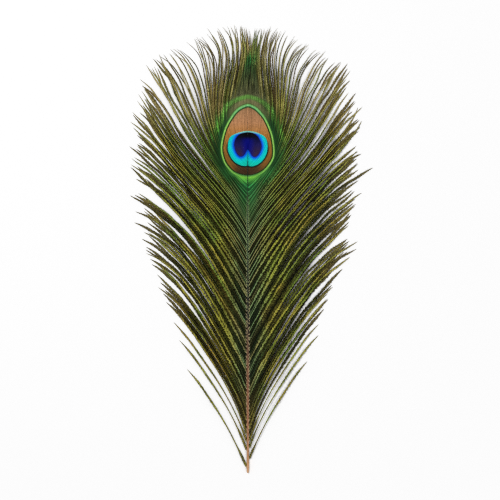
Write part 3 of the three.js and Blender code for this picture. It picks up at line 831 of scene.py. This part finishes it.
# ------------------------------------------------------------------ the shaft
def make_shaft(material):
    sides, rings = 24, 300
    y = np.concatenate([[0, .12, .4], np.linspace(.9, RACHIS_LENGTH - .4, rings), [RACHIS_LENGTH]])
    r = shaft_radius(np.clip(y, 0, 225)) * 1.0
    r[0] *= .93
    r[-1] = .08
    cz = arch(np.clip(y, 0, 225)) - sink(np.clip(y, 0, 225))
    rng = np.random.default_rng(5)
    wob = np.interp(y, np.linspace(0, 225, 60), rng.normal(0, .02, 60))
    a = np.linspace(0, 2 * np.pi, sides, endpoint=False)
    # section: rounded on top, a shallow groove along each side where barbs sit, and one underneath
    sec = 1 - .10 * np.exp(-((np.sin(a) - .05) / .28) ** 2) - .13 * np.exp(-((a - 1.5 * np.pi) / .35) ** 2)
    X = (r + wob * .4)[:, None] * np.cos(a) * sec
    Z = cz[:, None] + (r + wob * .2)[:, None] * np.sin(a) * sec
    Z = np.maximum(Z, 0.0)
    Y = np.repeat(y[:, None], sides, 1)
    v = np.stack([X, Y, Z], -1)
    m = len(y)
    idx = np.arange(m * sides).reshape(m, sides)
    q = np.stack([idx[:-1], idx[1:], np.roll(idx[1:], -1, 1), np.roll(idx[:-1], -1, 1)], -1).reshape(-1, 4)
    cap = np.array([[0, y[0] + .35, cz[0]], [0, y[-1] + .15, cz[-1]]])
    n0, n1 = m * sides, m * sides + 1
    f3 = np.concatenate([np.stack([np.full(sides, n0), idx[0], np.roll(idx[0], -1)], -1),
                         np.stack([np.full(sides, n1), np.roll(idx[-1], -1), idx[-1]], -1)])
    verts = np.concatenate([v.reshape(-1, 3), cap])
    around = np.concatenate([np.tile(np.sin(a), m), [0, 0]])
    flank = np.concatenate([np.tile(np.cos(a), m), [0, 0]])
    u = np.concatenate([np.repeat(y / (RACHIS_LENGTH + 1), sides), [0, 1]]) * .98 + .01
    w = np.concatenate([np.tile(np.abs(np.cos(a / 2 + np.pi / 4)) - .5, m), [0, 0]])
    pith = np.concatenate([np.zeros(m * sides), [1, 0]])
    verts = verts + np.array([SHAFT_X, QUILL_Y, 0])
    pile = Pile()
    pile.add(verts, f3, q, around=around, flank=flank, pith=pith, down=np.concatenate([np.repeat(y, sides), [0, 225]]), u=u,
             row=0, across=w)
    ob = pile.object("rachis", material, 1)
    return ob


def shaft_material():
    m = Nodes("shaft_keratin")
    x, y, z, obj = m.place()
    down, around, pith = m.attr("down"), m.attr("around"), m.attr("pith")
    base = m.ramp(down, 0, 225, [(0, srgb(206, 160, 118)), (8, srgb(190, 140, 98)), (28, srgb(158, 106, 72)),
                                 (60, srgb(124, 82, 54)), (88, srgb(92, 64, 40)), (106, srgb(44, 38, 22)),
                                 (135, srgb(30, 36, 20)), (165, srgb(18, 48, 26)), (196, srgb(10, 52, 30)),
                                 (203, srgb(40, 34, 22)), (207, srgb(6, 84, 90)), (214, srgb(8, 50, 150)),
                                 (225, srgb(8, 14, 84))])
    pale = m.ramp(down, 0, 225, [(0, srgb(216, 180, 138)), (60, srgb(216, 190, 148)), (88, srgb(168, 150, 112)),
                                 (108, srgb(108, 108, 72)), (122, srgb(90, 100, 62)), (150, srgb(84, 108, 66)), (180, srgb(54, 104, 60)), (200, srgb(24, 84, 50)),
                                 (225, srgb(8, 26, 96))])
    flank = m.attr("flank")
    # the pale sides show in dashes between the barbs' roots, left and right out of step
    wob = m.math("MULTIPLY", m.noise(obj, 300.0, 2.0), 13.0)
    ph = m.math("ADD", m.math("MULTIPLY_ADD", down, 1.8, wob), m.step(flank, -.2, .2, 0.0, 2.4))
    dash = m.math("SINE", m.math("SUBTRACT", ph, m.math("MULTIPLY", m.math("ABSOLUTE", flank), 1.2)))
    pale = m.mix(m.step(dash, .42, .05), pale, m.mix(1.0, base, m.mix(m.step(down, 50.0, 95.0), (.30, .27, .22, 1), (.10, .10, .08, 1)), "MULTIPLY"))
    edge = m.step(m.math("ABSOLUTE", flank), m.step(down, 80.0, 115.0, .34, -.2), m.step(down, 80.0, 115.0, .60, .25))
    grain = m.new("ShaderNodeMapping")
    grain.inputs["Scale"].default_value = (1.0, .08, 1.0)
    m.put(grain.inputs["Vector"], obj)
    g = m.noise(grain.outputs[0], 5200.0, 3.0, .6)
    blot = m.noise(obj, 260.0, 3.0, .6)
    col = m.mix(m.math("MULTIPLY", edge, m.math("ADD", m.step(down, 6, 26, .15, .60), m.step(down, 60, 105, 0.0, .28))), base, pale)
    col = m.mix(m.step(g, .35, .75, 0.0, .45), col, m.mix(1.0, col, (.55, .48, .42, 1), "MULTIPLY"))
    col = m.mix(m.step(blot, .5, .7, 0.0, .3), col, m.mix(1.0, col, (.62, .55, .5, 1), "MULTIPLY"))
    col = m.mix(pith, col, srgb(232, 220, 196))
    bs = m.new("ShaderNodeBsdfPrincipled")
    m.put(bs.inputs["Base Color"], col)
    m.put(bs.inputs["Roughness"], m.step(g, .2, .8, .36, .52))
    bs.inputs["Specular IOR Level"].default_value = .30
    bs.inputs["Coat Weight"].default_value = .06
    bs.inputs["Coat Roughness"].default_value = .3
    bump = m.new("ShaderNodeBump")
    bump.inputs["Strength"].default_value = .4
    bump.inputs["Distance"].default_value = .00008
    m.put(bump.inputs["Height"], g)
    m.put(bs.inputs["Normal"], bump.outputs[0])
    out = m.new("ShaderNodeOutputMaterial")
    m.put(out.inputs[0], bs.outputs[0])
    return m.mat


# ------------------------------------------------------------------ build
barbs_mat = barb_material("barbs", 1)
shaft_ob = make_shaft(shaft_material())
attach(shaft_ob, "root")
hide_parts("shaft")

SPLIT = [("lower", 0, 112), ("middle", 112, 182), ("eye", 182, 300)]
total = 0
for side, word in ((-1, "left"), (1, "right")):
    g = grow(side)
    for part, lo, hi in SPLIT:
        ob = make_vane_piece(g, lo, hi, f"barbs_{word}_{part}", barbs_mat)
        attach(ob, "root")
        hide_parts("vane_" + word)
        tris = sum(len(p.vertices) - 2 for p in ob.data.polygons)
        total += tris
        print("PIECE", ob.name, "barbs", g["n"], "triangles", tris)
print("TOTAL triangles", total)

# ------------------------------------------------------------------ floor, light, camera
def plain_material(name, col, rough):
    m = Nodes(name)
    bs = m.new("ShaderNodeBsdfPrincipled")
    bs.inputs["Base Color"].default_value = col
    bs.inputs["Roughness"].default_value = rough
    bs.inputs["Specular IOR Level"].default_value = .2
    out = m.new("ShaderNodeOutputMaterial")
    m.put(out.inputs[0], bs.outputs[0])
    return m.mat


me = bpy.data.meshes.new("floor")
f = 3.0
me.from_pydata([(-f, -f, -.0002), (f, -f, -.0002), (f, f, -.0002), (-f, f, -.0002)], [], [(0, 1, 2, 3)])
me.materials.append(plain_material("floor_paper", (.92, .92, .92, 1), .8))
floor = bpy.data.objects.new("floor", me)
bpy.context.scene.collection.objects.link(floor)


def area(name, loc, size, power, target=(0, 0, 0), color=(1, 1, 1)):
    li = bpy.data.lights.new(name, "AREA")
    li.shape = "RECTANGLE"
    li.size, li.size_y = size
    li.energy = power
    li.color = color
    ob = bpy.data.objects.new(name, li)
    ob.location = loc
    d = np.array(target, float) - np.array(loc, float)
    from mathutils import Vector
    ob.rotation_euler = Vector(d).to_track_quat("-Z", "Y").to_euler()
    bpy.context.scene.collection.objects.link(ob)
    return ob


area("key", (-.80, .85, 2.00), (.95, .95), 28.0)
area("fill", (1.10, -1.00, 1.90), (1.5, 1.5), 21.5)
world = bpy.data.worlds.new("studio")
world.use_nodes = True
world.node_tree.nodes["Background"].inputs[0].default_value = (1, 1, 1, 1)
world.node_tree.nodes["Background"].inputs[1].default_value = .38
bpy.context.scene.world = world
bpy.context.scene.view_settings.view_transform = "Standard"
bpy.context.scene.view_settings.look = "None"
# fibres thinner than a pixel: a denoiser would smear them, and the light is soft enough to do without one
bpy.context.scene.cycles.use_denoising = False
bpy.context.scene.cycles.filter_width = 1.1

# camera straight above; the picture's 500 pixels span 336.3 mm on the surface
SPAN = 336.3
PX = SPAN / 500
cam = bpy.data.cameras.new("camera")
cam.lens, cam.sensor_width = 85.0, 36.0
cam_ob = bpy.data.objects.new("camera", cam)
dist = (SPAN * MM) * cam.lens / cam.sensor_width
cx = (SHAFT_X + (250 - 247.8) * PX) * MM
cy = (QUILL_Y + (473 - 250) * PX) * MM
cam_ob.location = (cx, cy, dist + .002)
cam_ob.rotation_euler = (0, 0, 0)
cam.clip_start, cam.clip_end = .01, 20
bpy.context.scene.collection.objects.link(cam_ob)
bpy.context.scene.camera = cam_ob

lo, hi = cad_box[0], cad_box[1]
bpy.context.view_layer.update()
